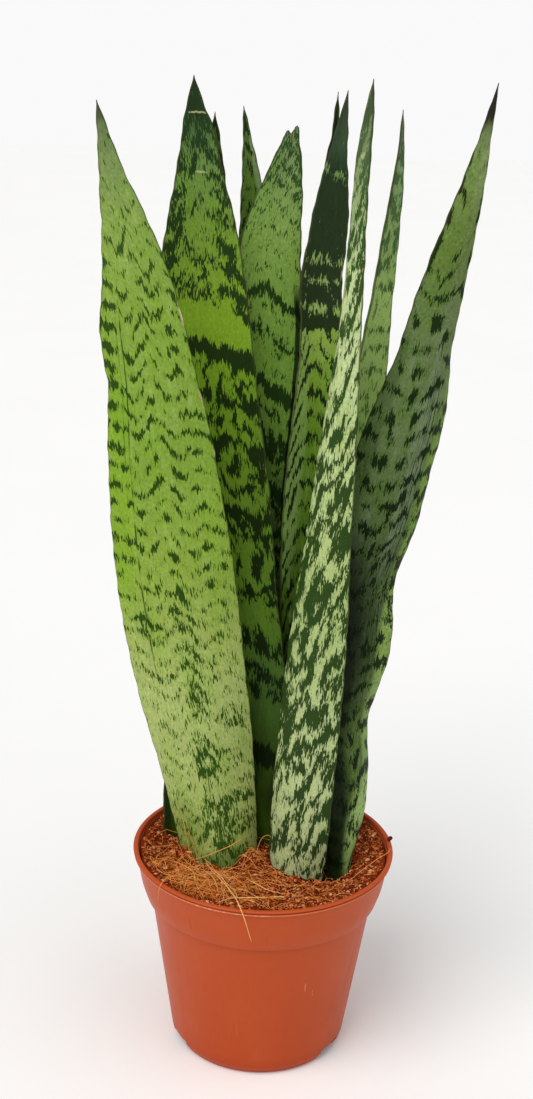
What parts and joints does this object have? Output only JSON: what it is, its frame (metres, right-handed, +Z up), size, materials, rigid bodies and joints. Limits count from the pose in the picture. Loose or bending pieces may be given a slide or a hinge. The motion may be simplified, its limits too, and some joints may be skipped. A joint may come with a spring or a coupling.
{
  "type": "potted ceylon bowstring hemp",
  "caption": "Upright patterned sansevieria leaves standing in coir in a round terracotta-coloured plastic nursery pot.",
  "frame": {"origin": "middle of the flat underside of the pot's floor", "axes": "+Z up along the pot's axis and the leaves, -Y towards the viewer of the picture, +X to the viewer's right"},
  "size_m": [0.1535, 0.1196, 0.435],
  "materials": {
    "pot_plastic": "satin terracotta-orange polypropylene, paler on the lips",
    "coir": "matt shredded coconut fibre and chips",
    "rhizome": "matt orange-brown creeping stem",
    "leaf_light": "waxy satin, light green with dark zigzag bands",
    "leaf_vivid": "waxy satin, vivid green with heavy dark bands",
    "leaf_dark": "waxy satin, deep green with thin light bands",
    "leaf_pale": "waxy satin, pale grey-green blotches on dark green"
  },
  "bodies": {
    "root": {"pot": "pot_plastic", "coir_soil": "coir", "rhizome_left": "rhizome", "rhizome_right": "rhizome", "leaf_front_left": "leaf_light", "leaf_broad_left": "leaf_vivid", "leaf_hidden_left": "leaf_dark", "leaf_back_left": "leaf_dark", "leaf_broken_tip": "leaf_vivid", "leaf_dark": "leaf_dark", "leaf_behind_dark": "leaf_dark", "leaf_front_narrow": "leaf_pale", "leaf_back_right": "leaf_light", "leaf_front_right": "leaf_pale"}
  },
  "joints": []
}
